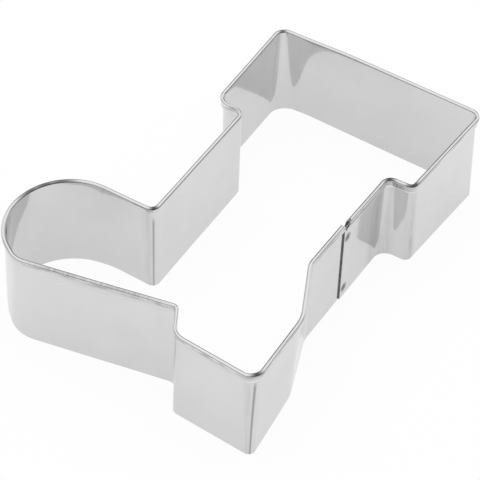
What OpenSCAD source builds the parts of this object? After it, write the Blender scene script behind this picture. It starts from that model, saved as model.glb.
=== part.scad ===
// Boot-shaped cookie cutter
// One strip of tinplate, hemmed along its top edge, bent to the outline of a boot
// and closed by a spot-welded lap seam at the back of the leg.
// Millimetres, +Z up. The raw cutting edge lies in the plane z = 0, the boot stands
// along +Y with its cuff, and its toe points to -X. The origin is the middle of the
// cutter's outer extents, on the plane of the cutting edge.
// Outline sizes are taken on the inner face of the strip.

/* [Strip] */
// Height of the strip, from the cutting edge to the top of the hem
strip_h = 20; // [14:0.5:40]
// Thickness of the sheet
sheet_t = 0.25; // [0.2:0.05:0.4]

/* [Hem] */
// How far the folded hem reaches down outside the rim
hem_h = 2; // [1.4:0.1:4]
// Slot left open between the wall and the fold
hem_gap = 0.15; // [0.1:0.05:0.3]

/* [Cuff] */
// Height of the boot, from under the heel to the top of the cuff
boot_h = 81; // [72:1:110]
// Height of the cuff
cuff_h = 25; // [16:0.5:30]
// How far the cuff steps out past the leg on the toe side
cuff_step_toe = 6.2; // [5.5:0.1:10]
// How far the cuff steps out past the leg on the heel side
cuff_step_heel = 5.6; // [5:0.1:10]
// How much wider the cuff gets towards its top on the toe side
cuff_flare_toe = 0.9; // [0:0.1:3]
// How much wider the cuff gets towards its top on the heel side
cuff_flare_heel = 1.5; // [0:0.1:3]
// How much higher the top of the cuff is on the toe side
cuff_tilt = 1.4; // [0:0.1:3]

/* [Leg] */
// Width of the leg at the ankle
leg_w = 29.7; // [24:0.1:40]
// How far the front of the leg leans out towards the cuff
leg_lean = 0.8; // [0:0.1:2]

/* [Foot] */
// Height of the foot, from under the heel to the top of the toe
foot_h = 24.3; // [20:0.1:27]
// Length of the foot, from the back of the heel to the straight at the tip of the toe
foot_l = 58.5; // [54:0.5:80]
// Height up to which the tip of the toe runs straight
toe_corner_h = 7.9; // [6:0.1:9]
// How far the sole under the toe starts behind the tip of the toe
toe_sole_l = 7.5; // [6:0.1:9]
// Height of the sole under the toe
toe_sole_h = 0.7; // [0:0.1:1.5]

/* [Heel] */
// How far the back of the heel stands out past the leg
heel_step = 6.4; // [5:0.1:9]
// Width of the underside of the heel
heel_w = 16.5; // [14:0.5:20]
// How much the underside of the heel rises towards the arch
heel_rise = 1; // [0:0.1:2]
// Height of the arch in front of the heel
arch_h = 6.9; // [6.4:0.1:9]
// How far the front of the heel slopes out towards the arch
arch_step = 3.5; // [1:0.1:5]
// Height at which the back of the heel starts to draw in
heel_back_h = 15.8; // [13:0.1:17]
// How far the back of the heel draws in up to that height
heel_back_in = 1.3; // [0.5:0.1:3]
// Height at which the heel runs into the leg
ankle_h = 28; // [26:0.1:31]

/* [Bends] */
// Bend at the cuff's top corner on the toe side
cuff_top_toe_r = 2.6; // [1.5:0.1:5]
// Bend at the cuff's top corner on the heel side
cuff_top_heel_r = 2; // [1.5:0.1:5]
// Bend under the cuff on the toe side
cuff_low_toe_r = 3.2; // [1.5:0.1:3.4]
// Bend under the cuff on the heel side
cuff_low_heel_r = 1.2; // [0.8:0.1:2.5]
// Inside bends where the cuff meets the leg
cuff_root_r = 2.2; // [1.4:0.1:2.4]
// Inside bend where the leg meets the top of the foot
instep_r = 1.3; // [1.2:0.1:6]
// Bends around the tip of the toe
toe_r = 11; // [8:0.1:11]
// Bend where the toe meets the sole
toe_sole_r = 7.5; // [4:0.1:8]
// Inside bend at the arch
arch_r = 1.5; // [1.2:0.1:3]
// Bends at both corners of the heel
heel_r = 2.3; // [1:0.1:2.6]
// Bend where the back of the heel starts to draw in
heel_back_r = 3.6; // [2:0.1:6]
// Inside bend where the heel runs into the leg
ankle_r = 1.9; // [1.4:0.1:4]

/* [Seam] */
// Height on the boot of the seam's outer edge
seam_y = 39.7; // [36:0.1:42]
// Length of the tongue that lies behind the outer end
lap_l = 5; // [4:0.1:8]
// Clearance between the two layers of the lap
lap_gap = 0.03; // [0.02:0.01:0.05]
// Clearance between the inner hem's end and the seam's outer edge
seam_gap = 0.1; // [0.1:0.05:0.3]
// Clearance between the hem's lower edge and the foot of the seam's notch
notch_gap = 0.1; // [0.1:0.05:0.3]
// Width of the slanted side of the notch at the rim
notch_w = 1; // [0.5:0.1:1.5]
// Rounding of the hem's corner on the other side of the notch
notch_r = 1.5; // [0.8:0.1:1.8]

/* [Spot welds] */
// Diameter of a weld
weld_d = 2; // [1.4:0.1:2.2]
// Distance of the welds from the seam's outer edge
weld_inset = 2; // [1.6:0.1:2.4]
// Height of the lower weld above the cutting edge
weld_low_z = 2.2; // [1.8:0.1:4]
// Distance of the upper weld below the foot of the notch
weld_drop = 2.6; // [1.8:0.1:4]
// Depth of the electrode's dent in each end of a weld
dent_depth = 0.06; // [0.03:0.01:0.08]
// Width of the flat ring around the dent
dent_ring = 0.2; // [0.1:0.05:0.3]

/* [Hidden] */

tin = [0.78, 0.79, 0.8];
weld_grey = [0.62, 0.62, 0.63];

bend_sag = 0.02;       // how far the flats of a bend may stray from its arc
fold_flats = 6;        // flats across the hem's fold
notch_step = 15;       // turn between two points of the notch's rounded corner
round_fn = 48;
cut = 1;               // how far a cutter runs past what it cuts

// The hem seen on end: d is the distance outwards from the inner face
hem_w = 2 * sheet_t + hem_gap;
fold_r = hem_w / 2;
slot_r = hem_gap / 2;
fold_z = strip_h - fold_r;
hem_z = strip_h - hem_h;
notch_z = hem_z - notch_gap;

// The leg's inner layer, and the outer layer that laps over it
leg_x = leg_w / 2;
lap_x = leg_x + sheet_t + lap_gap;
weld_l = lap_x + sheet_t - leg_x;
weld_y = seam_y + weld_inset;
weld_upper_z = notch_z - weld_drop;

cuff_y = boot_h - cuff_h;
cuff_toe_x = -leg_x - leg_lean - cuff_step_toe;
cuff_heel_x = lap_x + cuff_step_heel;
heel_x = leg_x + heel_step;
toe_x = heel_x - foot_l;
arch_x = heel_x - heel_w;

// Corners of the boot from the seam's outer edge anticlockwise to its inner end,
// each with its bend
CORNERS = [
    [lap_x, cuff_y, cuff_root_r],
    [cuff_heel_x, cuff_y, cuff_low_heel_r],
    [cuff_heel_x + cuff_flare_heel, boot_h - cuff_tilt / 2, cuff_top_heel_r],
    [cuff_toe_x - cuff_flare_toe, boot_h + cuff_tilt / 2, cuff_top_toe_r],
    [cuff_toe_x, cuff_y, cuff_low_toe_r],
    [-leg_x - leg_lean, cuff_y, cuff_root_r],
    [-leg_x, foot_h, instep_r],
    [toe_x, foot_h, toe_r],
    [toe_x, toe_corner_h, toe_r],
    [toe_x + toe_sole_l, toe_sole_h, toe_sole_r],
    [arch_x - arch_step, arch_h, arch_r],
    [arch_x, heel_rise, heel_r],
    [heel_x, 0, heel_r],
    [heel_x - heel_back_in, heel_back_h, heel_back_r],
    [leg_x, ankle_h, ankle_r],
];
OUTER_END = [lap_x, seam_y];
INNER_END = [leg_x, seam_y - seam_gap];

function unit(v) = v / norm(v);
function outwards(v) = [v.y, -v.x];
function cross_z(a, b) = a.x * b.y - a.y * b.x;

// Points of the arc of radius r that rounds corner b between a and c
function bend(a, b, c, r) =
    let (
        u = unit(b - a),
        v = unit(c - b),
        turn = atan2(cross_z(u, v), u * v),
        side = sign(turn),
        from = b - u * r * tan(abs(turn) / 2),
        centre = from - outwards(u) * side * r,
        steps = ceil(abs(turn) / acos(1 - bend_sag / r) / 2)
    )
    [for (i = [0:steps])
        let (a = turn * i / steps)
        centre + side * r * (outwards(u) * cos(a) + u * sin(a))];

// The inner face of the strip, seen from above
function route(ends, corners) =
    let (
        last = len(corners) - 1,
        stops = [ends[0], for (c = corners) [c.x, c.y], ends[1]]
    )
    [
        ends[0],
        for (i = [0:last])
            each bend(stops[i], stops[i + 1], stops[i + 2], corners[i].z),
        ends[1],
    ];

// For each point of a line, how far a step outwards takes it, mitred at a bend
function mitres(line) =
    let (last = len(line) - 1)
    [for (i = [0:last])
        let (
            before = unit(line[max(i, 1)] - line[max(i, 1) - 1]),
            after = unit(line[min(i, last - 1) + 1] - line[min(i, last - 1)]),
            middle = unit(outwards(before) + outwards(after))
        )
        middle / (middle * outwards(before))];

LINE = route([OUTER_END, INNER_END], CORNERS);
MITRES = mitres(LINE);
RIM = [for (i = [0:len(LINE) - 1]) LINE[i] + MITRES[i] * hem_w];
RIM_X = [for (p = RIM) p.x];
RIM_Y = [for (p = RIM) p.y];
MIDDLE = [min(RIM_X) + max(RIM_X), min(RIM_Y) + max(RIM_Y)] / 2;

// Section through the fold and the hem that hangs from it, as [d, z]: the sheet's
// slot side down to the hem's edge, and its outer side back up to the wall
function fold_arc(r) =
    [for (i = [0:fold_flats])
        let (a = 180 - 180 * i / fold_flats)
        [fold_r + r * cos(a), fold_z + r * sin(a)]];

function reversed(list) = [for (i = [len(list) - 1:-1:0]) list[i]];

SLOT_SIDE = [each fold_arc(slot_r), [hem_w - sheet_t, hem_z]];
OUTER_SIDE = [each fold_arc(fold_r), [hem_w, hem_z]];
HEM_SECTION = [each SLOT_SIDE, each reversed(OUTER_SIDE)];

// Two triangles for a flat of four corners, listed in order around it
function halves(q) = [[q[0], q[1], q[2]], [q[0], q[2], q[3]]];

// The fold and the hem: their section carried round the boot, closed at both ends
module hem() {
    n = len(HEM_SECTION);
    last = len(LINE) - 1;
    points = [
        for (i = [0:last])
            for (q = HEM_SECTION)
                let (p = LINE[i] + MITRES[i] * q[0])
                [p.x, p.y, q[1]],
    ];
    sides = [
        for (i = [0:last - 1])
            for (j = [0:n - 1])
                let (
                    a = i * n + j,
                    b = i * n + (j + 1) % n
                )
                each halves([a, b, b + n, a + n]),
    ];
    // Each end is closed by flats that cross the sheet from one side to the other
    ends = [
        for (k = [0:len(SLOT_SIDE) - 2])
            let (m = n - 1 - k)
            each concat(
                halves([m, m - 1, k + 1, k]),
                halves([for (j = [k, k + 1, m - 1, m]) last * n + j])
            ),
    ];
    polyhedron(points, [each sides, each ends]);
}

// The upright wall below the fold, from the seam's outer edge to the inner hem's end
module wall() {
    outer_face = [for (i = [0:len(LINE) - 1]) LINE[i] + MITRES[i] * sheet_t];
    linear_extrude(fold_z)
        polygon([each LINE, each reversed(outer_face)]);
}

// Lays a shape that is drawn around the boot's own corner values on the origin
module centred() {
    translate([-MIDDLE.x, -MIDDLE.y, 0])
        children();
}

// Stands a shape drawn along +Z on a weld's axis, from the lap's inner face outwards
module at_weld(z) {
    translate([leg_x, weld_y, z])
        rotate([0, 90, 0])
            children();
}

// The unhemmed end of the strip that passes behind the outer layer
module tongue() {
    translate([leg_x, seam_y - lap_l, 0])
        cube([sheet_t, 2 * lap_l, notch_z]);
}

// Cuts the hem on both sides of the seam: slanted on the inner layer's end,
// upright with a rounded corner on the outer layer's
module seam_notch() {
    slope = notch_w / (strip_h - notch_z);
    translate([leg_x - cut, 0, 0])
        rotate([90, 0, 90])
            linear_extrude(lap_x - leg_x + hem_w + 2 * cut)
                polygon([
                    [seam_y, notch_z],
                    for (a = [180:-notch_step:90])
                        [
                            seam_y + notch_r + notch_r * cos(a),
                            strip_h - notch_r + notch_r * sin(a),
                        ],
                    [seam_y + notch_r, strip_h + cut],
                    [seam_y - notch_w - slope * cut, strip_h + cut],
                ]);
}

module weld_pocket(z) {
    translate([-cut, 0, 0])
        at_weld(z)
            cylinder(d = weld_d, h = weld_l + 2 * cut, $fn = round_fn);
}

// The bent strip with its hem, notch and the seats of the welds
module strip() {
    color(tin)
        centred()
            union() {
                difference() {
                    union() {
                        wall();
                        tongue();
                    }
                    seam_notch();
                    weld_pocket(weld_low_z);
                    weld_pocket(weld_upper_z);
                }
                difference() {
                    hem();
                    seam_notch();
                }
            }
}

// The fused metal of a spot weld through both layers, dented at both ends
module weld(z) {
    dent_r = weld_d / 2 - dent_ring;
    ball_r = (dent_r * dent_r + dent_depth * dent_depth) / (2 * dent_depth);
    color(weld_grey)
        centred()
            at_weld(z)
                difference() {
                    cylinder(d = weld_d, h = weld_l, $fn = round_fn);
                    translate([0, 0, dent_depth - ball_r])
                        sphere(ball_r, $fn = round_fn);
                    translate([0, 0, weld_l - dent_depth + ball_r])
                        sphere(ball_r, $fn = round_fn);
                }
}

module weld_upper() {
    weld(weld_upper_z);
}

module weld_lower() {
    weld(weld_low_z);
}

strip();
weld_upper();
weld_lower();
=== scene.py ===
"""Looks of the boot-shaped cookie cutter: the bent tinplate strip with its hem and lap seam,
the two spot welds that close it, and a plain pale studio."""

import math

import bmesh
import bpy
import numpy as np
from mathutils import Matrix, Vector, noise


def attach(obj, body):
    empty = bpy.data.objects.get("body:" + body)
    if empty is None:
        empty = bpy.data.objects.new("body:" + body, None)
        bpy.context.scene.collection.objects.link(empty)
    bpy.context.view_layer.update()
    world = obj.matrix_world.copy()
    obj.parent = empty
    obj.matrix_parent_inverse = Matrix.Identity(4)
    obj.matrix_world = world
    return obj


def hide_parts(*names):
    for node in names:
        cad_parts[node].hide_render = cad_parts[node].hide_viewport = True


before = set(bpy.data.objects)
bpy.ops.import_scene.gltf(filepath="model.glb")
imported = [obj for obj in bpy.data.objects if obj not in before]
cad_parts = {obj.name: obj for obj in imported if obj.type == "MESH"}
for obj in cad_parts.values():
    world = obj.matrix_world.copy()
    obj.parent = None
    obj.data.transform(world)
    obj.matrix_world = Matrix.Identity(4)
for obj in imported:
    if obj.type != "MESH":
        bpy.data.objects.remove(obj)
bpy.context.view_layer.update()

# A millimetre in metres, and a centimetre in millimetres
MM = 0.001
CM = 10.0

# Sizes of the strip and places of the welds in millimetres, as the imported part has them
STRIP_H = 20.0
SHEET_T = 0.25
HEM_H = 2.0
HEM_GAP = 0.15
LAP_GAP = 0.03
LAP_L = 5.0
SEAM_GAP = 0.1
NOTCH_GAP = 0.1
NOTCH_W = 1.0
NOTCH_R = 1.5
WELD_D = 2.0
WELD_Y = 41.7
WELD_LOW_Z = 2.2
WELD_DROP = 2.6

# The leg's inner face and the seam's outer edge, where the photograph shows them
LEG_X = 14.7
SEAM_Y = 40.5

HEM_TIP_X = 2 * SHEET_T + HEM_GAP
HEM_Z = STRIP_H - HEM_H
NOTCH_Z = HEM_Z - NOTCH_GAP
LAP_X = LEG_X + SHEET_T + LAP_GAP
WELD_HIGH_Z = NOTCH_Z - WELD_DROP

# The fold stands fuller than the tip of the hem, which closes back towards the wall
FOLD_R = 0.45
HEM_W = 2 * FOLD_R
FOLD_Z = STRIP_H - FOLD_R
FOLD_LENGTH = math.pi * FOLD_R
HEM_CLOSE = 1.3

# The middle of the cutter's extents in those millimetres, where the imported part's origin is
MIDDLE = (-7.693, 40.887)

# Bends of the strip's inner face, anticlockwise from the seam, in millimetres from the
# middle of the leg and the underside of the heel: the corner at the rim, its radius there,
# how far the corner has strayed at the cutting edge, and its radius there
BENDS = (
    # root of the cuff, heel side
    ((15.15, 55.7), 2.2, (-0.25, 0.75), 2.9),
    # underside of the cuff, heel side
    ((20.4, 55.85), 0.6, (0.35, 0.55), 1.1),
    # top of the cuff, heel side
    ((21.45, 79.9), 1.6, (0.65, 0.4), 1.6),
    # top of the cuff, where the sheet springs back from the bend
    ((-6.8, 80.9), 32.0, (-9.5, 0.75), 30.0),
    # top of the cuff, toe side
    ((-22.55, 80.75), 1.5, (-0.2, 0.6), 3.7),
    # underside of the cuff, toe side
    ((-21.45, 56.0), 2.4, (-0.45, 0.3), 4.0),
    # root of the cuff, toe side
    ((-15.55, 56.65), 2.6, (-0.3, -0.3), 2.0),
    # instep
    ((-14.7, 23.65), 2.2, (-0.2, 0.45), 1.5),
    # top of the foot
    ((-25.3, 23.73), 30.0, (0.0, 0.72), 16.2),
    # top of the toe
    ((-35.85, 23.75), 10.5, (-0.95, -2.2), 11.9),
    # tip of the toe
    ((-37.35, 6.4), 12.1, (0.0, 1.25), 10.2),
    # sole under the toe
    ((-28.75, 1.05), 3.8, (-0.75, -0.25), 7.3),
    # arch
    ((1.35, 7.15), 1.4, (-0.25, -0.45), 1.6),
    # front of the heel
    ((4.5, 1.3), 3.2, (0.1, -0.55), 1.5),
    # back of the heel
    ((20.95, 0.05), 2.0, (0.25, -0.4), 1.0),
    # top of the heel
    ((20.35, 16.1), 9.5, (-0.8, -1.0), 8.0),
    # ankle
    ((14.75, 28.1), 3.6, (0.05, -0.05), 6.4),
)

# Steps that the curves and the sheet are laid out in, and the least room between the wall's
# evenly spaced rows and the row at the notch
ARC_STEP = math.radians(5)
RUN_STEP = 0.8
WALL_ROWS = 24
FOLD_ROWS = 14
HEM_ROWS = 8
ROW_ROOM = 0.3
WELD_STEPS = 64

# Greatest turns between faces that are shaded smooth, in degrees
STRIP_SMOOTH = 32
WELD_SMOOTH = 50

# Waves of the rolled sheet in millimetres: depth, length along the strip, length up it, and
# which layer of the noise. They calm down over WAVE_FADE towards the lap
WAVES = (
    (0.05, 11.0, 16.0, 3.7),
    (0.012, 4.5, 7.0, 11.2),
)
WAVE_FADE = 8.0

# How far along the strip its stations give way to the notch at the seam
NOTCH_REACH = 5.0

# How far the drill of a weld's seat stands out of the lap
DRILL_PAST = 1.0

# Marks of the bending and painted shade, each by its bend's place in BENDS, how far past it the
# mark is at the rim and at the cutting edge, its reach to either side, and how strong it is:
# lines creased over the tool and darkened with painted shade, painted shade on the cuff's end
# wall, streaky bands of painted shade on the wall, the hem and the fold, and stretches of the
# fold that the tool pinched, painted dark as shade
CREASES = (
    (7, 0.0, 0.15, 0.4, 0.8),
    (14, 0.45, -0.2, 0.4, 1.0),
)
# Painted shade over the cuff's end wall
END_WALL_SHADE = (
    (2, 16.0, 16.0, 19.0, 0.1),
)
# Streaky bands of painted shade on the wall, the hem and the fold
WALL_SHADE_BANDS = (
    (0, -2.5, -2.5, 4.0, 0.9),
    (0, 0.5, 0.5, 1.5, 0.6),
    (1, 0.5, 0.5, 1.2, 1.0),
    (7, 1.2, 1.2, 1.6, 0.5),
    (14, -0.8, -0.8, 1.2, 0.5),
)
HEM_SHADE_BANDS = (
    (0, -9.0, -9.0, 9.0, 0.5),
    (0, 1.5, 1.5, 6.0, 1.7),
    (11, 15.0, 15.0, 17.0, 0.4),
    (14, -6.0, -6.0, 7.0, 0.4),
    (14, -0.3, -0.3, 2.5, 0.5),
)
FOLD_SHADE_BANDS = (
    (0, -7.0, -7.0, 9.0, 0.45),
    (1, 12.0, 12.0, 13.0, 0.35),
    (11, 9.0, 9.0, 11.0, 1.5),
    (11, 20.0, 20.0, 12.0, 1.5),
    (14, 8.0, 8.0, 8.0, 0.5),
    (16, 6.5, 6.5, 7.0, 0.5),
)
# The pinches narrow the fold's slot, and their stretches are painted dark as shade
PINCHES = (
    (0, 0.1, 0.1, 2.4, 1.0),
    (1, 0.1, 0.1, 1.5, 1.0),
    (4, 0.0, 0.0, 1.2, 0.9),
    (7, -0.1, -0.1, 1.5, 1.0),
    (9, 0.0, 0.0, 4.5, 0.85),
    (9, 3.0, 3.0, 4.5, 0.9),
    (9, 6.0, 6.0, 4.5, 0.85),
    (14, 0.4, 0.4, 1.4, 1.0),
)

# In the same form, the short steps of the outline, where the fold is pressed thinner, and
# where the tip of the hem gets a painted highlight
PRESSED = (
    (5, 2.95, 2.95, 4.6, 1.0),
    (12, 3.4, 3.4, 5.2, 1.0),
)
# Painted highlight along the hem's tip
TIP_SHEEN = (
    (0, 1.8, 1.8, 4.5, 0.8),
    (14, 0.4, 0.4, 2.0, 0.6),
)

# How deep a full crease is, how far below the hem's tip its line of painted shade ends, and over
# what height it fades in, in millimetres
CREASE_DEPTH = 0.04
CREASE_END = 0.2
CREASE_FADE = 1.2

# The shares by which a full pinch narrows the slot, and a full press narrows the fold
PINCH = 0.7
PRESS = 0.3

# The painted sheen on the whole fold, and how many rows of the sheet the tip of the hem takes
FOLD_SHEEN = 0.35
TIP_ROWS = 2

# Hollows pressed into the wall: the bend's place, how far past it, reach along the strip,
# height, reach up and down, and depth
HOLLOWS = (
    (4, -5.2, 5.0, 13.5, 9.0, 0.2),
)

# A weld seen from its middle outwards: radius, and height above the sheet's face
WELD_PROFILE = (
    (0.0, -0.15),
    (0.22, -0.155),
    (0.42, -0.145),
    (0.56, -0.11),
    (0.68, -0.05),
    (0.76, 0.0),
    (0.83, 0.02),
    (0.9, 0.01),
    (0.95, -0.005),
    (0.985, -0.04),
    (0.99, -0.08),
)

# The radius up to which a weld's dent is darkened with painted shade, and how far beyond it that
# fades
DENT_SHADE_R = 0.55
DENT_SHADE_FADE = 0.3

# Metal: reflectances and roughnesses, at the low and the high end of their noise or all over
TIN_GREYS = (0.69, 0.72)
TIN_ROUGH = (0.07, 0.13)
# The grey of the painted sheen on the fold and the painted highlight on the hem's tip
SHEEN_GREY = 0.9
# The grey that painted shade darkens the tin towards
SHADE_GREY = 0.2
CREASE_ROUGH = 0.3
# The grey of the painted shade at the fold's pinches
PINCH_SHADE_GREY = 0.1
EDGE_GREYS = (0.16, 0.3)
EDGE_ROUGH = 0.42
RING_GREYS = (0.42, 0.55)
# The greys of the painted shade in a weld's dent
DENT_SHADE_GREYS = (0.16, 0.3)
WELD_ROUGH = (0.2, 0.34)

# How far the marks of painted shade darken the tin towards the shade grey, and how strong the
# painted shadow under the hem is beside the band of painted shade under the fold
CREASE_SHADE = 0.75
BAND_SHADE = 0.36
ROLL_SHADE = 0.6
UNDER_HEM_SHADE = 0.6

# The line of painted shadow on the wall under the hem, in millimetres from the hem's tip: how far
# below it the line starts and is full, and how far above it the line ends
UNDER_HEM_START = 0.7
UNDER_HEM_FULL = 0.15
UNDER_HEM_END = 0.2

# Painted shade where the fold turns into the hem: how far it reaches onto each, in millimetres
ROLL_REACH_FOLD = 0.4
ROLL_REACH_HEM = 1.2

# Depths of relief in metres
STREAK_DEPTH = 0.0000015
PEEL_DEPTH = 0.000006
BURR_DEPTH = 0.00001
GRAIN_DEPTH = 0.000008

# Noises: scale, detail, and stretch along the sheet and up it. Those on the sheet are laid in
# centimetres, those on the welds and the paper in metres
STREAKS = (1.0, 4.0, (1.2, 55.0, 1.0))
PATCHES = (1.3, 4.0)
PEEL = (6.0, 2.0)
# Streaks that break up the painted shade under the fold and the hem
LINE_STREAKS = (1.0, 3.0, (2.5, 9.0, 1.0))
# Streaks that break up the bands of painted shade
BAND_STREAKS = (1.0, 2.0, (16.0, 1.5, 1.0))
BURRS = (1.0, 3.0, (60.0, 9.0, 1.0))
WELD_GRAIN = (4500.0, 4.0)
WELD_CLOUDS = (1400.0, 3.0)
PAPER_FIBRES = (900.0, 3.0)

# The spans of those noises that are used, and how much of a shade band its streaks leave at least
NOISE_SPAN = (0.3, 0.7)
LINE_STREAKS_SPAN = (0.4, 0.58)
BAND_STREAKS_SPAN = (0.35, 0.65)
BAND_STREAKS_LEAST = 0.4
FIBRES_SPAN = (0.2, 0.8)

# The floor: its size and height in metres, its greys, and the share of plain white in what
# the camera and the metal see of it
FLOOR_SIZE = 6.0
FLOOR_Z = -0.00005
FLOOR_GREYS = (0.87, 0.89)
FLOOR_WHITE_SEEN = 0.95
FLOOR_WHITE_MIRRORED = 0.7

# The light of the studio by height, from straight down at 0 to straight up at 1
STUDIO_LIGHT = ((0.0, 0.85), (0.5, 0.85), (0.505, 0.18), (0.72, 0.18), (0.79, 1.0), (1.0, 1.0))

# Panels round the studio: the way to each, the range over which it fades in, and its light.
# All of them fade in above the horizon
PANELS = (
    ((0.25, 0.97), 0.92, 0.98, 0.8),
    ((-0.97, 0.25), 0.92, 0.98, 0.8),
    ((0.5, -0.86), -0.8, -0.3, 0.42),
)
PANEL_FOOT = 0.02

# The lamp: its sides and place in metres, and its power in watts
LAMP_SIZE = (0.7, 0.7)
LAMP_PLACE = (-0.15, 0.1, 0.6)
LAMP_POWER = 1.2

# Where the photograph was taken from: places and distances in the strip's millimetres
LOOK_AT = (-3.28, 34.81, 10.06)
CAMERA_AZIMUTH = math.radians(30.39)
CAMERA_ELEVATION = math.radians(44.69)
CAMERA_ROLL = math.radians(2.24)
CAMERA_DISTANCE = 396.9
CAMERA_LENS = 161.9
CAMERA_NEAREST = 10.0
SENSOR = 36.0


def unit(v):
    """The same way as v, with a length of 1."""
    return v / np.linalg.norm(v)


def ease(t):
    """Runs smoothly from 0 to 1 as t does."""
    t = np.clip(t, 0.0, 1.0)
    return t * t * (3.0 - 2.0 * t)


def outwards(v):
    """The way out of the boot from a run that goes round it anticlockwise."""
    return np.array((v[1], -v[0]))


def turn_at(a, b, c):
    """Size of the turn at corner b between a and c."""
    return math.acos(np.clip(unit(b - a) @ unit(c - b), -1.0, 1.0))


def bend(a, b, c, radius, steps):
    """Points of the arc that rounds corner b between a and c."""
    u = unit(b - a)
    v = unit(c - b)
    turn = math.atan2(u[0] * v[1] - u[1] * v[0], u @ v)
    side = math.copysign(1.0, turn)
    start = b - u * radius * math.tan(abs(turn) / 2)
    centre = start - outwards(u) * side * radius
    return [
        centre + side * radius * (outwards(u) * math.cos(t) + u * math.sin(t))
        for t in np.linspace(0.0, turn, steps + 1)]


def corner(number, level):
    """A bend's corner and radius at a level from 0, the cutting edge, to 1, the rim."""
    rim, rim_radius, strayed, base_radius = BENDS[number]
    point = np.array(rim) + np.array(strayed) * (1.0 - level)
    return point, base_radius + (rim_radius - base_radius) * level


def arc_steps(number, rim_stops):
    """An even number of steps, fine enough by turn and by length."""
    turn = turn_at(*rim_stops[number:number + 3])
    length = turn * BENDS[number][1]
    return 2 * math.ceil(max(turn / ARC_STEP, length / RUN_STEP) / 2)


def run_steps(length):
    """Steps that a straight run of this length is laid out in."""
    return max(2, round(length / RUN_STEP))


def add_run(points, end, rim_length):
    """Carries the line straight on to a point, in as many steps as at the rim."""
    steps = run_steps(rim_length)
    start = points[-1]
    points += [start + (end - start) * k / steps for k in range(1, steps + 1)]


def line_at(level):
    """The strip's inner face at a level. Every level has the same number of points."""
    outer_end = np.array((LAP_X, SEAM_Y))
    inner_end = np.array((LEG_X, SEAM_Y - SEAM_GAP))
    rim_stops = [outer_end] + [corner(i, 1.0)[0] for i in range(len(BENDS))] + [inner_end]
    stops = [outer_end] + [corner(i, level)[0] for i in range(len(BENDS))] + [inner_end]
    points = [outer_end]
    for i in range(len(BENDS)):
        arc = bend(*stops[i:i + 3], corner(i, level)[1], arc_steps(i, rim_stops))
        add_run(points, arc[0], np.linalg.norm(rim_stops[i + 1] - rim_stops[i]))
        points += arc[1:]
    add_run(points, inner_end, np.linalg.norm(rim_stops[-1] - rim_stops[-2]))
    onwards = unit(points[1] - points[0])
    add_run(points, inner_end + onwards * (LAP_L + SEAM_GAP), LAP_L)
    return np.array(points)


def mitres(line):
    """How far a step outwards takes each point of a line, mitred at a bend."""
    runs = np.diff(line, axis=0)
    runs /= np.linalg.norm(runs, axis=1)[:, None]
    sides = np.stack((runs[:, 1], -runs[:, 0]), axis=1)
    before = np.vstack((sides[:1], sides))
    after = np.vstack((sides, sides[-1:]))
    middle = before + after
    middle /= np.linalg.norm(middle, axis=1)[:, None]
    return middle / (middle * before).sum(axis=1)[:, None]


def on_fold(radius, angle):
    """Step outwards and height of a point of the fold, at an angle above straight outwards."""
    return FOLD_R + radius * math.cos(angle), FOLD_Z + radius * math.sin(angle)


def sheet_chain():
    """The sheet seen on end, from the cutting edge up the wall, over the fold and down the
    hem: for each row the step outwards and the height, of its two faces."""
    rows = []
    even = np.linspace(0.0, FOLD_Z, WALL_ROWS + 1)
    for z in sorted([z for z in even if abs(z - NOTCH_Z) > ROW_ROOM] + [NOTCH_Z]):
        rows.append(((0.0, z), (SHEET_T, z)))
    for angle in np.linspace(math.pi, 0.0, FOLD_ROWS + 1)[1:]:
        rows.append((on_fold(FOLD_R, angle), on_fold(FOLD_R - SHEET_T, angle)))
    for t in np.linspace(0.0, 1.0, HEM_ROWS + 1)[1:]:
        x = HEM_W + (HEM_TIP_X - HEM_W) * ease(t * HEM_CLOSE)
        z = FOLD_Z + (HEM_Z - FOLD_Z) * t
        rows.append(((x, z), (x - SHEET_T, z)))
    return rows


CHAIN = sheet_chain()
HEIGHTS = [sides[0][1] for sides in CHAIN]
NOTCH_ROW = HEIGHTS.index(NOTCH_Z)
WALL_TOP_ROW = HEIGHTS.index(FOLD_Z)
FOLD_END_ROW = WALL_TOP_ROW + FOLD_ROWS
TIP_ROW = len(CHAIN) - TIP_ROWS


def stations():
    """How far along the rim each point of a line is, and how far along each bend is."""
    line = line_at(FOLD_Z / STRIP_H)
    steps = np.linalg.norm(np.diff(line, axis=0), axis=1)
    along = np.concatenate(((0.0,), np.cumsum(steps)))
    middles = [along[np.argmin(np.linalg.norm(line - np.array(b[0]), axis=1))] for b in BENDS]
    return along, middles


def marked(along, middles, table, level=1.0):
    """How strongly a table of marks shows at each point of the line at a level."""
    strength = np.zeros(len(along))
    for number, past_rim, past_base, reach, depth in table:
        middle = middles[number] + past_base + (past_rim - past_base) * level
        fade = np.clip(1.0 - np.abs(along - middle) / reach, 0.0, 1.0)
        strength = np.maximum(strength, depth * ease(fade))
    return strength


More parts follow.
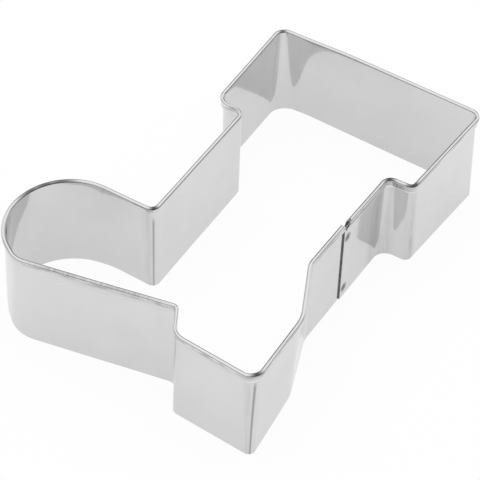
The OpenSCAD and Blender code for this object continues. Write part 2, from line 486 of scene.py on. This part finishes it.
def mark_row(marks, r, level, along, middles):
    """Notes how marked a row of the sheet is in each way, on both its faces."""
    if r <= WALL_TOP_ROW:
        # Painted shade along the creases, fading out towards the hem, and on the cuff's end wall
        fade = ease((HEM_Z - CREASE_END - HEIGHTS[r]) / CREASE_FADE)
        creased = marked(along, middles, CREASES, level) * fade
        marks["crease_and_shade"][:, r] = np.maximum(creased, marked(along, middles, END_WALL_SHADE, level))
        # Streaky bands of painted shade on the wall
        marks["shade_band"][:, r] = marked(along, middles, WALL_SHADE_BANDS, level)
    elif r < FOLD_END_ROW:
        # On the fold: painted shade at the pinches, painted sheen, and bands of painted shade
        marks["pinch_shade"][:, r] = marked(along, middles, PINCHES)
        marks["sheen"][:, r] = FOLD_SHEEN
        marks["shade_band"][:, r] = marked(along, middles, FOLD_SHADE_BANDS)
    elif r < TIP_ROW:
        # Bands of painted shade on the hem
        marks["shade_band"][:, r] = marked(along, middles, HEM_SHADE_BANDS)
    else:
        # Painted highlight on the hem's tip
        marks["sheen"][:, r] = marked(along, middles, TIP_SHEEN)


def waves(along, height):
    """How far the rolled sheet strays from a true wall, in millimetres."""
    return sum(
        depth * noise.noise(Vector((along / length, height / rise, layer)))
        for depth, length, rise, layer in WAVES)


def hollowed(along, middles, z):
    """How deep the hollows in the wall are at each point of the line at a height."""
    depth = np.zeros(len(along))
    for number, past, reach, height, reach_z, deepest in HOLLOWS:
        across = np.clip(1.0 - np.abs(along - middles[number] - past) / reach, 0.0, 1.0)
        depth += deepest * ease(across) * ease(1.0 - abs(z - height) / reach_z)
    return depth


def pinched(step, side, pinches, thin):
    """A step outwards to the fold or the hem, where it is pressed thin or its slot is pinched."""
    if side == 0:
        return step * thin * (1.0 - pinches * HEM_GAP / HEM_W)
    room = (HEM_W * thin - 2 * SHEET_T) / (HEM_W - 2 * SHEET_T)
    return SHEET_T + (step - SHEET_T) * room * (1.0 - PINCH * pinches)


def cut_back(points, along, hem_end, z, hemmed):
    """Draws a row's ends in to the notch at the seam: rounded on the outer layer,
    slanted on the inner layer."""
    above = z - (STRIP_H - NOTCH_R)
    if above > 0.0:
        outer = NOTCH_R - math.sqrt(max(0.0, NOTCH_R ** 2 - above ** 2))
        near = np.clip(1.0 - along / NOTCH_REACH, 0.0, 1.0)
        points += (unit(points[1] - points[0])[None, :] * outer) * near[:, None]
    if hemmed:
        inner = max(0.0, NOTCH_W * (z - NOTCH_Z) / (STRIP_H - NOTCH_Z) - SEAM_GAP)
        near = np.clip(1.0 - (along[hem_end] - along) / NOTCH_REACH, 0.0, 1.0)
        near[hem_end + 1:] = 0.0
        back = unit(points[hem_end - 1] - points[hem_end])
        points += (back[None, :] * inner) * near[:, None]


def strip_grid():
    """Both faces of the strip as grids of points, with each point's place on the sheet, how
    marked it is in each way, and the station at which the inner layer's hem ends."""
    along, middles = stations()
    hem_end = len(along) - 1 - run_steps(LAP_L)
    pinches = marked(along, middles, PINCHES)
    thin = 1.0 - PRESS * marked(along, middles, PRESSED)
    still = ease((along - LAP_L) / WAVE_FADE) * ease((along[hem_end] - along) / WAVE_FADE)
    size = (2, len(CHAIN), len(along))
    faces = np.zeros((*size, 3))
    sheet = np.zeros((*size, 2))
    # Strengths of the marks: painted shade at creases, in bands and at pinches, and painted sheen
    marks = {name: np.zeros(size) for name in ("crease_and_shade", "shade_band", "pinch_shade", "sheen")}
    travelled = 0.0
    for r, sides in enumerate(CHAIN):
        in_wall = r <= WALL_TOP_ROW
        level = (HEIGHTS[r] if in_wall else FOLD_Z) / STRIP_H
        line = line_at(level)
        out = mitres(line)
        if r:
            travelled += math.dist(CHAIN[r][0], CHAIN[r - 1][0])
        stray = np.array([waves(s, travelled) for s in along]) * still
        stray -= hollowed(along, middles, HEIGHTS[r])
        if in_wall:
            stray -= CREASE_DEPTH * marked(along, middles, CREASES, level)
        for side, (step, z) in enumerate(sides):
            reach = step if in_wall else pinched(step, side, pinches, thin)
            points = line + out * (reach + stray)[:, None]
            cut_back(points, along, hem_end, z, r > NOTCH_ROW)
            faces[side, r, :, :2] = points
            faces[side, r, :, 2] = z
        sheet[:, r, :, 0] = along
        sheet[:, r, :, 1] = travelled
        mark_row(marks, r, level, along, middles)
    return faces, sheet, marks, hem_end


def strip_faces(rows, count, hem_end):
    """Quads of the closed sheet, and which of them are raw cut edges."""
    def at(side, r, i):
        return (side * rows + r) * count + i

    def there(r, i):
        if r < 0 or i < 0 or r >= rows - 1:
            return False
        return i < (count - 1 if r < NOTCH_ROW else hem_end)

    quads = []
    raw = []
    for r in range(rows - 1):
        for i in range(count - 1):
            if not there(r, i):
                continue
            a = [at(0, r, i), at(0, r + 1, i), at(0, r + 1, i + 1), at(0, r, i + 1)]
            b = [at(1, r, i), at(1, r, i + 1), at(1, r + 1, i + 1), at(1, r + 1, i)]
            edges = []
            if not there(r - 1, i):
                edges.append((a[0], a[3], b[1], b[0]))
            if not there(r + 1, i):
                edges.append((a[1], b[3], b[2], a[2]))
            if not there(r, i - 1):
                edges.append((a[0], b[0], b[3], a[1]))
            if not there(r, i + 1):
                edges.append((a[3], a[2], b[2], b[1]))
            quads += [a, b] + edges
            raw += [False, False] + [True] * len(edges)
    return quads, raw


def to_frame(points):
    """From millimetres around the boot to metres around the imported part."""
    return (np.asarray(points) - np.array((*MIDDLE, 0.0))) * MM


def new_piece(name, points, polygons):
    """A mesh object at the origin, its points in metres."""
    mesh = bpy.data.meshes.new(name)
    mesh.from_pydata([tuple(p) for p in points], [], polygons)
    piece = bpy.data.objects.new(name, mesh)
    bpy.context.scene.collection.objects.link(piece)
    return piece


def number_on_points(mesh, name, values):
    """Keeps a number for each point of a mesh, for its material to read."""
    attribute = mesh.attributes.new(name, "FLOAT", "POINT")
    attribute.data.foreach_set("value", np.asarray(values, dtype=np.float32).ravel())


def drop_loose_points(mesh):
    """Deletes the grid's points beyond the notch, which no face uses."""
    editing = bmesh.new()
    editing.from_mesh(mesh)
    loose = [v for v in editing.verts if not v.link_faces]
    bmesh.ops.delete(editing, geom=loose, context="VERTS")
    editing.to_mesh(mesh)
    editing.free()


def apply_modifiers(piece):
    """Makes what a piece's modifiers give its own mesh."""
    depsgraph = bpy.context.evaluated_depsgraph_get()
    mesh = bpy.data.meshes.new_from_object(piece.evaluated_get(depsgraph), depsgraph=depsgraph)
    piece.modifiers.clear()
    piece.data = mesh


def smooth(piece, degrees):
    """Shades a piece smooth, but for its edges that turn more sharply than this."""
    mesh = piece.data
    mesh.polygons.foreach_set("use_smooth", [True] * len(mesh.polygons))
    mesh.set_sharp_from_angle(angle=math.radians(degrees))


def weld_ring(x, radius, z):
    """Points round a weld's axis, for a weld at a height."""
    angles = [2 * math.pi * k / WELD_STEPS for k in range(WELD_STEPS)]
    return [(x, WELD_Y + radius * math.cos(a), z + radius * math.sin(a)) for a in angles]


def cut_seat(piece, z):
    """Bores the seat of a spot weld through both layers of the lap."""
    n = WELD_STEPS
    inner_ring = weld_ring(LEG_X - DRILL_PAST, WELD_D / 2, z)
    outer_ring = weld_ring(LAP_X + SHEET_T + DRILL_PAST, WELD_D / 2, z)
    sides = [(k, (k + 1) % n, n + (k + 1) % n, n + k) for k in range(n)]
    ends = [tuple(reversed(range(n))), tuple(range(n, 2 * n))]
    drill = new_piece("seat_cutter", to_frame(inner_ring + outer_ring), sides + ends)
    bore = piece.modifiers.new("seat", "BOOLEAN")
    bore.operation = "DIFFERENCE"
    bore.solver = "EXACT"
    bore.object = drill
    apply_modifiers(piece)
    bpy.data.objects.remove(drill)


def build_strip():
    """The bent, hemmed strip, as one closed sheet."""
    faces, sheet, marks, hem_end = strip_grid()
    _, rows, count, _ = faces.shape
    quads, raw = strip_faces(rows, count, hem_end)
    strip = new_piece("strip", to_frame(faces.reshape(-1, 3)), quads)
    mesh = strip.data
    mesh.materials.append(tin_material())
    mesh.materials.append(raw_edge_material())
    mesh.polygons.foreach_set("material_index", [int(r) for r in raw])
    for name, strength in marks.items():
        number_on_points(mesh, name, strength)
    # 0 on the wall's inner face, 1 on its outer face
    number_on_points(mesh, "outside", np.indices(faces.shape[:3])[0])
    number_on_points(mesh, "sheet_along", sheet[..., 0] / CM)
    number_on_points(mesh, "sheet_up", sheet[..., 1] / CM)
    drop_loose_points(mesh)
    for z in (WELD_LOW_Z, WELD_HIGH_Z):
        cut_seat(strip, z)
    smooth(strip, STRIP_SMOOTH)
    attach(strip, "root")
    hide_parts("strip")


def turned_faces(rings):
    """Faces of a solid turned about the weld's axis, whose first two points are the middles
    of its ends and whose rings follow."""
    n = WELD_STEPS
    last = 2 + (rings - 1) * n
    polygons = []
    for start in range(2, last, n):
        for k in range(n):
            a = start + k
            b = start + (k + 1) % n
            polygons.append((a, a + n, b + n, b))
    for k in range(n):
        polygons.append((0, 2 + k, 2 + (k + 1) % n))
        polygons.append((1, last + (k + 1) % n, last + k))
    return polygons


def build_weld(name, z):
    """The fused metal of a spot weld: a flat ring around the electrode's dent, at both ends."""
    outer_end = [(radius, LAP_X + SHEET_T + rise) for radius, rise in WELD_PROFILE]
    inner_end = [(radius, LEG_X - rise) for radius, rise in reversed(WELD_PROFILE)]
    rings = outer_end[1:] + inner_end[:-1]
    points = [(outer_end[0][1], WELD_Y, z), (inner_end[-1][1], WELD_Y, z)]
    dent_shade = [1.0, 1.0]
    for radius, x in rings:
        points += weld_ring(x, radius, z)
        dent_shade += [1.0 - ease((radius - DENT_SHADE_R) / DENT_SHADE_FADE)] * WELD_STEPS
    weld = new_piece(name, to_frame(points), turned_faces(len(rings)))
    # How strongly painted shade darkens each ring of the weld
    number_on_points(weld.data, "dent_shade", dent_shade)
    weld.data.materials.append(weld_material(name))
    smooth(weld, WELD_SMOOTH)
    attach(weld, "root")
    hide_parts(name)


def new_material(name):
    """A material with an empty tree, and its tree."""
    material = bpy.data.materials.new(name)
    material.use_nodes = True
    material.node_tree.nodes.clear()
    return material, material.node_tree


def add_node(tree, kind, inputs=None, **settings):
    """A shader node with its inputs set or linked."""
    made = tree.nodes.new("ShaderNode" + kind)
    for key, value in settings.items():
        setattr(made, key, value)
    for key, value in (inputs or {}).items():
        if isinstance(value, bpy.types.NodeSocket):
            tree.links.new(value, made.inputs[key])
        else:
            made.inputs[key].default_value = value
    return made


def grey(value):
    """A grey as an opaque colour."""
    return (value, value, value, 1.0)


def ramp(tree, factor, *stops):
    """A colour ramp between greys, each stop a position and a value."""
    made = add_node(tree, "ValToRGB", {"Fac": factor})
    elements = made.color_ramp.elements
    while len(elements) < len(stops):
        elements.new(0.5)
    for element, (position, value) in zip(elements, stops):
        element.position = position
        element.color = grey(value)
    return made.outputs["Color"]


def clouded(tree, values, greys, span=NOISE_SPAN):
    """A grey that runs from one to another over the span of a noise."""
    return ramp(tree, values, *zip(span, greys))


def noise_on(tree, place, scale, detail, stretch=(1.0, 1.0, 1.0)):
    """A noise laid on a place, finer along an axis the more that axis is stretched."""
    mapped = add_node(tree, "Mapping", {"Vector": place, "Scale": stretch}).outputs["Vector"]
    inputs = {"Vector": mapped, "Scale": scale, "Detail": detail}
    return add_node(tree, "TexNoise", inputs).outputs["Fac"]


def ranged(tree, value, low, high, to_low=0.0, to_high=1.0):
    """A value of the range from low to high, moved to another range and kept inside it."""
    inputs = {
        "Value": value, "From Min": low, "From Max": high,
        "To Min": to_low, "To Max": to_high}
    return add_node(tree, "MapRange", inputs).outputs["Result"]


def maths(tree, operation, first, *others):
    """Two or more values, reckoned together from left to right."""
    for other in others:
        first = add_node(tree, "Math", {0: first, 1: other}, operation=operation).outputs["Value"]
    return first


def vector_maths(tree, operation, *vectors):
    return add_node(tree, "VectorMath", dict(enumerate(vectors)), operation=operation).outputs


def blend(tree, factor, first, second, way="MIX"):
    """Between two colours."""
    inputs = {"Factor": factor, "A": first, "B": second}
    return add_node(tree, "Mix", inputs, data_type="RGBA", blend_type=way).outputs["Result"]


def relief(tree, height, depth, under=None):
    """The normals of a relief, laid over those of another if there is one."""
    inputs = {"Height": height, "Strength": 1.0, "Distance": depth}
    if under is not None:
        inputs["Normal"] = under
    return add_node(tree, "Bump", inputs).outputs["Normal"]


def mark(tree, name):
    """A number that the mesh keeps for each point."""
    return add_node(tree, "Attribute", attribute_name=name).outputs["Fac"]


def on_sheet(tree):
    """Place on the flat sheet in centimetres: along the strip, and up it."""
    inputs = {"X": mark(tree, "sheet_along"), "Y": mark(tree, "sheet_up")}
    return add_node(tree, "CombineXYZ", inputs).outputs["Vector"]


def band(tree, start, full, last, end):
    """A band along the sheet that fades in from start to full and out from last to end, in
    millimetres up the sheet."""
    up = mark(tree, "sheet_up")
    fade_in = ranged(tree, up, start / CM, full / CM)
    fade_out = ranged(tree, up, last / CM, end / CM, 1.0, 0.0)
    return maths(tree, "MULTIPLY", fade_in, fade_out)


def hem_shadow_line(tree):
    """A line of painted shadow on the outside of the wall, close under the hem's tip."""
    line = band(
        tree, HEM_Z - UNDER_HEM_START, HEM_Z - UNDER_HEM_FULL, HEM_Z, HEM_Z + UNDER_HEM_END)
    return maths(tree, "MULTIPLY", mark(tree, "outside"), line)


def fold_shade_band(tree):
    """The band of painted shade on the hem, close under the fold."""
    end = FOLD_Z + FOLD_LENGTH
    rolled = band(tree, end - ROLL_REACH_FOLD, end, end, end + ROLL_REACH_HEM)
    face = maths(tree, "SUBTRACT", 1.0, mark(tree, "outside"))
    return maths(tree, "MULTIPLY", face, rolled)


def finish_metal(tree, colour, roughness, normal):
    """Ends a material's tree with bare metal."""
    surface = add_node(tree, "BsdfPrincipled", {
        "Base Color": colour, "Roughness": roughness, "Metallic": 1.0, "Normal": normal})
    output = add_node(tree, "OutputMaterial")
    tree.links.new(surface.outputs["BSDF"], output.inputs["Surface"])


def tin_painted_shade(tree, place):
    """How much painted shade darkens the tin: along the creases and on the cuff's end wall, in
    streaky bands, and along the lines under the fold and the hem."""
    line_streaks = ranged(tree, noise_on(tree, place, *LINE_STREAKS), *LINE_STREAKS_SPAN)
    band_streaks = ranged(tree, noise_on(tree, place, *BAND_STREAKS), *BAND_STREAKS_SPAN, BAND_STREAKS_LEAST, 1.0)
    creased = maths(tree, "MULTIPLY", mark(tree, "crease_and_shade"), CREASE_SHADE)
    # Bands of painted shade, broken into streaks
    shade_banded = maths(tree, "MULTIPLY", mark(tree, "shade_band"), band_streaks, BAND_SHADE)
    # Painted shadow line under the hem
    hem_line = maths(tree, "MULTIPLY", hem_shadow_line(tree), UNDER_HEM_SHADE)
    lines = maths(tree, "MAXIMUM", fold_shade_band(tree), hem_line)
    # Painted shade along the lines under the fold and the hem, broken into streaks
    rolled = maths(tree, "MULTIPLY", lines, line_streaks, ROLL_SHADE)
    return maths(tree, "MAXIMUM", creased, shade_banded, rolled)


def tin_material():
    """Bright tinplate: rolling streaks along the strip, faint cloudy patches, fine pits, painted
    shade at creases, in bands, under the fold and the hem and at pinches, and a painted sheen."""
    material, tree = new_material("tinplate")
    place = on_sheet(tree)
    streaks = noise_on(tree, place, *STREAKS)
    tin = clouded(tree, noise_on(tree, place, *PATCHES), TIN_GREYS)
    # Painted sheen on the fold and painted highlight on the hem's tip
    bright = blend(tree, mark(tree, "sheen"), tin, grey(SHEEN_GREY))
    # Painted shade of the creases, the bands and the lines under the fold and the hem
    shaded = blend(tree, tin_painted_shade(tree, place), bright, grey(SHADE_GREY))
    # Painted shade at the fold's pinches
    colour = blend(tree, mark(tree, "pinch_shade"), shaded, grey(PINCH_SHADE_GREY))
    gloss = ranged(tree, streaks, *NOISE_SPAN, *TIN_ROUGH)
    creased = maths(tree, "MULTIPLY", mark(tree, "crease_and_shade"), CREASE_ROUGH)
    normal = relief(
        tree, noise_on(tree, place, *PEEL), PEEL_DEPTH, relief(tree, streaks, STREAK_DEPTH))
    finish_metal(tree, colour, maths(tree, "ADD", gloss, creased), normal)
    return material


def raw_edge_material():
    """The sheared edge of the sheet, with the fine burrs of the shear across it."""
    material, tree = new_material("raw_edge")
    burrs = noise_on(tree, on_sheet(tree), *BURRS)
    normal = relief(tree, burrs, BURR_DEPTH)
    finish_metal(tree, clouded(tree, burrs, EDGE_GREYS), EDGE_ROUGH, normal)
    return material


def weld_material(name):
    """Pressed and fused tin: duller than the sheet, cloudy, and darkened in its dent with painted
    shade.
    """
    material, tree = new_material(name)
    place = add_node(tree, "TexCoord").outputs["Object"]
    grain = noise_on(tree, place, *WELD_GRAIN)
    clouds = noise_on(tree, place, *WELD_CLOUDS)
    ring = clouded(tree, clouds, RING_GREYS)
    dent_shade = clouded(tree, clouds, DENT_SHADE_GREYS)
    # Painted shade in the weld's dent
    colour = blend(tree, mark(tree, "dent_shade"), ring, dent_shade)
    gloss = ranged(tree, grain, *NOISE_SPAN, *WELD_ROUGH)
    finish_metal(tree, colour, gloss, relief(tree, grain, GRAIN_DEPTH))
    return material


def floor_material():
    """Pale paper. The camera sees it white but for the cutter's shadow, and so does the metal,
    a little less white."""
    material, tree = new_material("paper")
    rays = add_node(tree, "LightPath").outputs
    mirrored = maths(tree, "MAXIMUM", rays["Is Glossy Ray"], rays["Is Transmission Ray"])
    share = maths(
        tree, "ADD",
        maths(tree, "MULTIPLY", rays["Is Camera Ray"], FLOOR_WHITE_SEEN),
        maths(tree, "MULTIPLY", mirrored, FLOOR_WHITE_MIRRORED))
    place = add_node(tree, "TexCoord").outputs["Object"]
    paper = clouded(tree, noise_on(tree, place, *PAPER_FIBRES), FLOOR_GREYS, FIBRES_SPAN)
    matt = add_node(tree, "BsdfDiffuse", {"Color": paper}).outputs["BSDF"]
    white = add_node(tree, "Emission", {"Color": grey(1.0), "Strength": 1.0}).outputs["Emission"]
    mixed = add_node(tree, "MixShader", {0: share, 1: matt, 2: white})
    output = add_node(tree, "OutputMaterial")
    tree.links.new(mixed.outputs["Shader"], output.inputs["Surface"])
    return material


def build_floor():
    half = FLOOR_SIZE / 2
    around = ((-half, -half), (half, -half), (half, half), (-half, half))
    floor = new_piece("floor", [(x, y, FLOOR_Z) for x, y in around], [(0, 1, 2, 3)])
    floor.data.materials.append(floor_material())


def build_world():
    """A studio that is bright overhead, with pale panels round its dim walls."""
    world = bpy.data.worlds.new("studio")
    bpy.context.scene.world = world
    world.use_nodes = True
    tree = world.node_tree
    tree.nodes.clear()
    direction = add_node(tree, "TexCoord").outputs["Generated"]
    height = add_node(tree, "SeparateXYZ", {"Vector": direction}).outputs["Z"]
    light = ramp(tree, ranged(tree, height, -1.0, 1.0), *STUDIO_LIGHT)
    level = vector_maths(tree, "MULTIPLY", direction, (1.0, 1.0, 0.0))["Vector"]
    ahead = vector_maths(tree, "NORMALIZE", level)["Vector"]
    above_foot = ranged(tree, height, 0.0, PANEL_FOOT)
    for way, far, near, strength in PANELS:
        facing = vector_maths(tree, "DOT_PRODUCT", ahead, (*way, 0.0))["Value"]
        seen = ranged(tree, facing, far, near, 0.0, strength)
        panel = maths(tree, "MULTIPLY", seen, above_foot)
        light = blend(tree, 1.0, light, panel, "LIGHTEN")
    background = add_node(tree, "Background", {"Color": light, "Strength": 1.0})
    output = add_node(tree, "OutputWorld")
    tree.links.new(background.outputs["Background"], output.inputs["Surface"])


def build_lamp():
    """A soft box high above the table, to the cutter's left, that the metal doesn't mirror."""
    lamp = bpy.data.lights.new("softbox", "AREA")
    lamp.shape = "RECTANGLE"
    lamp.size, lamp.size_y = LAMP_SIZE
    lamp.energy = LAMP_POWER
    box = bpy.data.objects.new("softbox", lamp)
    box.location = LAMP_PLACE
    aim = Vector((0.0, 0.0, 0.0)) - Vector(LAMP_PLACE)
    box.rotation_euler = aim.to_track_quat("-Z", "Y").to_euler()
    box.visible_glossy = False
    bpy.context.scene.collection.objects.link(box)


def build_camera():
    """The photograph's camera: 45 degrees above the table, 30 degrees round to the heel."""
    back = Vector((
        math.sin(CAMERA_AZIMUTH) * math.cos(CAMERA_ELEVATION),
        -math.cos(CAMERA_AZIMUTH) * math.cos(CAMERA_ELEVATION),
        math.sin(CAMERA_ELEVATION)))
    level = Vector((math.cos(CAMERA_AZIMUTH), math.sin(CAMERA_AZIMUTH), 0.0))
    upright = back.cross(level)
    right = level * math.cos(CAMERA_ROLL) + upright * math.sin(CAMERA_ROLL)
    up = upright * math.cos(CAMERA_ROLL) - level * math.sin(CAMERA_ROLL)
    place = Vector(to_frame(LOOK_AT)) + back * (CAMERA_DISTANCE * MM)
    lens = bpy.data.cameras.new("camera")
    lens.sensor_fit = "HORIZONTAL"
    lens.sensor_width = SENSOR
    lens.lens = CAMERA_LENS
    lens.clip_start = CAMERA_NEAREST * MM
    camera = bpy.data.objects.new("camera", lens)
    camera.matrix_world = Matrix((
        (right.x, up.x, back.x, place.x),
        (right.y, up.y, back.y, place.y),
        (right.z, up.z, back.z, place.z),
        (0.0, 0.0, 0.0, 1.0)))
    bpy.context.scene.collection.objects.link(camera)
    bpy.context.scene.camera = camera


build_camera()
build_strip()
build_weld("weld_upper", WELD_HIGH_Z)
build_weld("weld_lower", WELD_LOW_Z)
build_floor()
build_world()
build_lamp()
bpy.context.scene.view_settings.view_transform = "Standard"
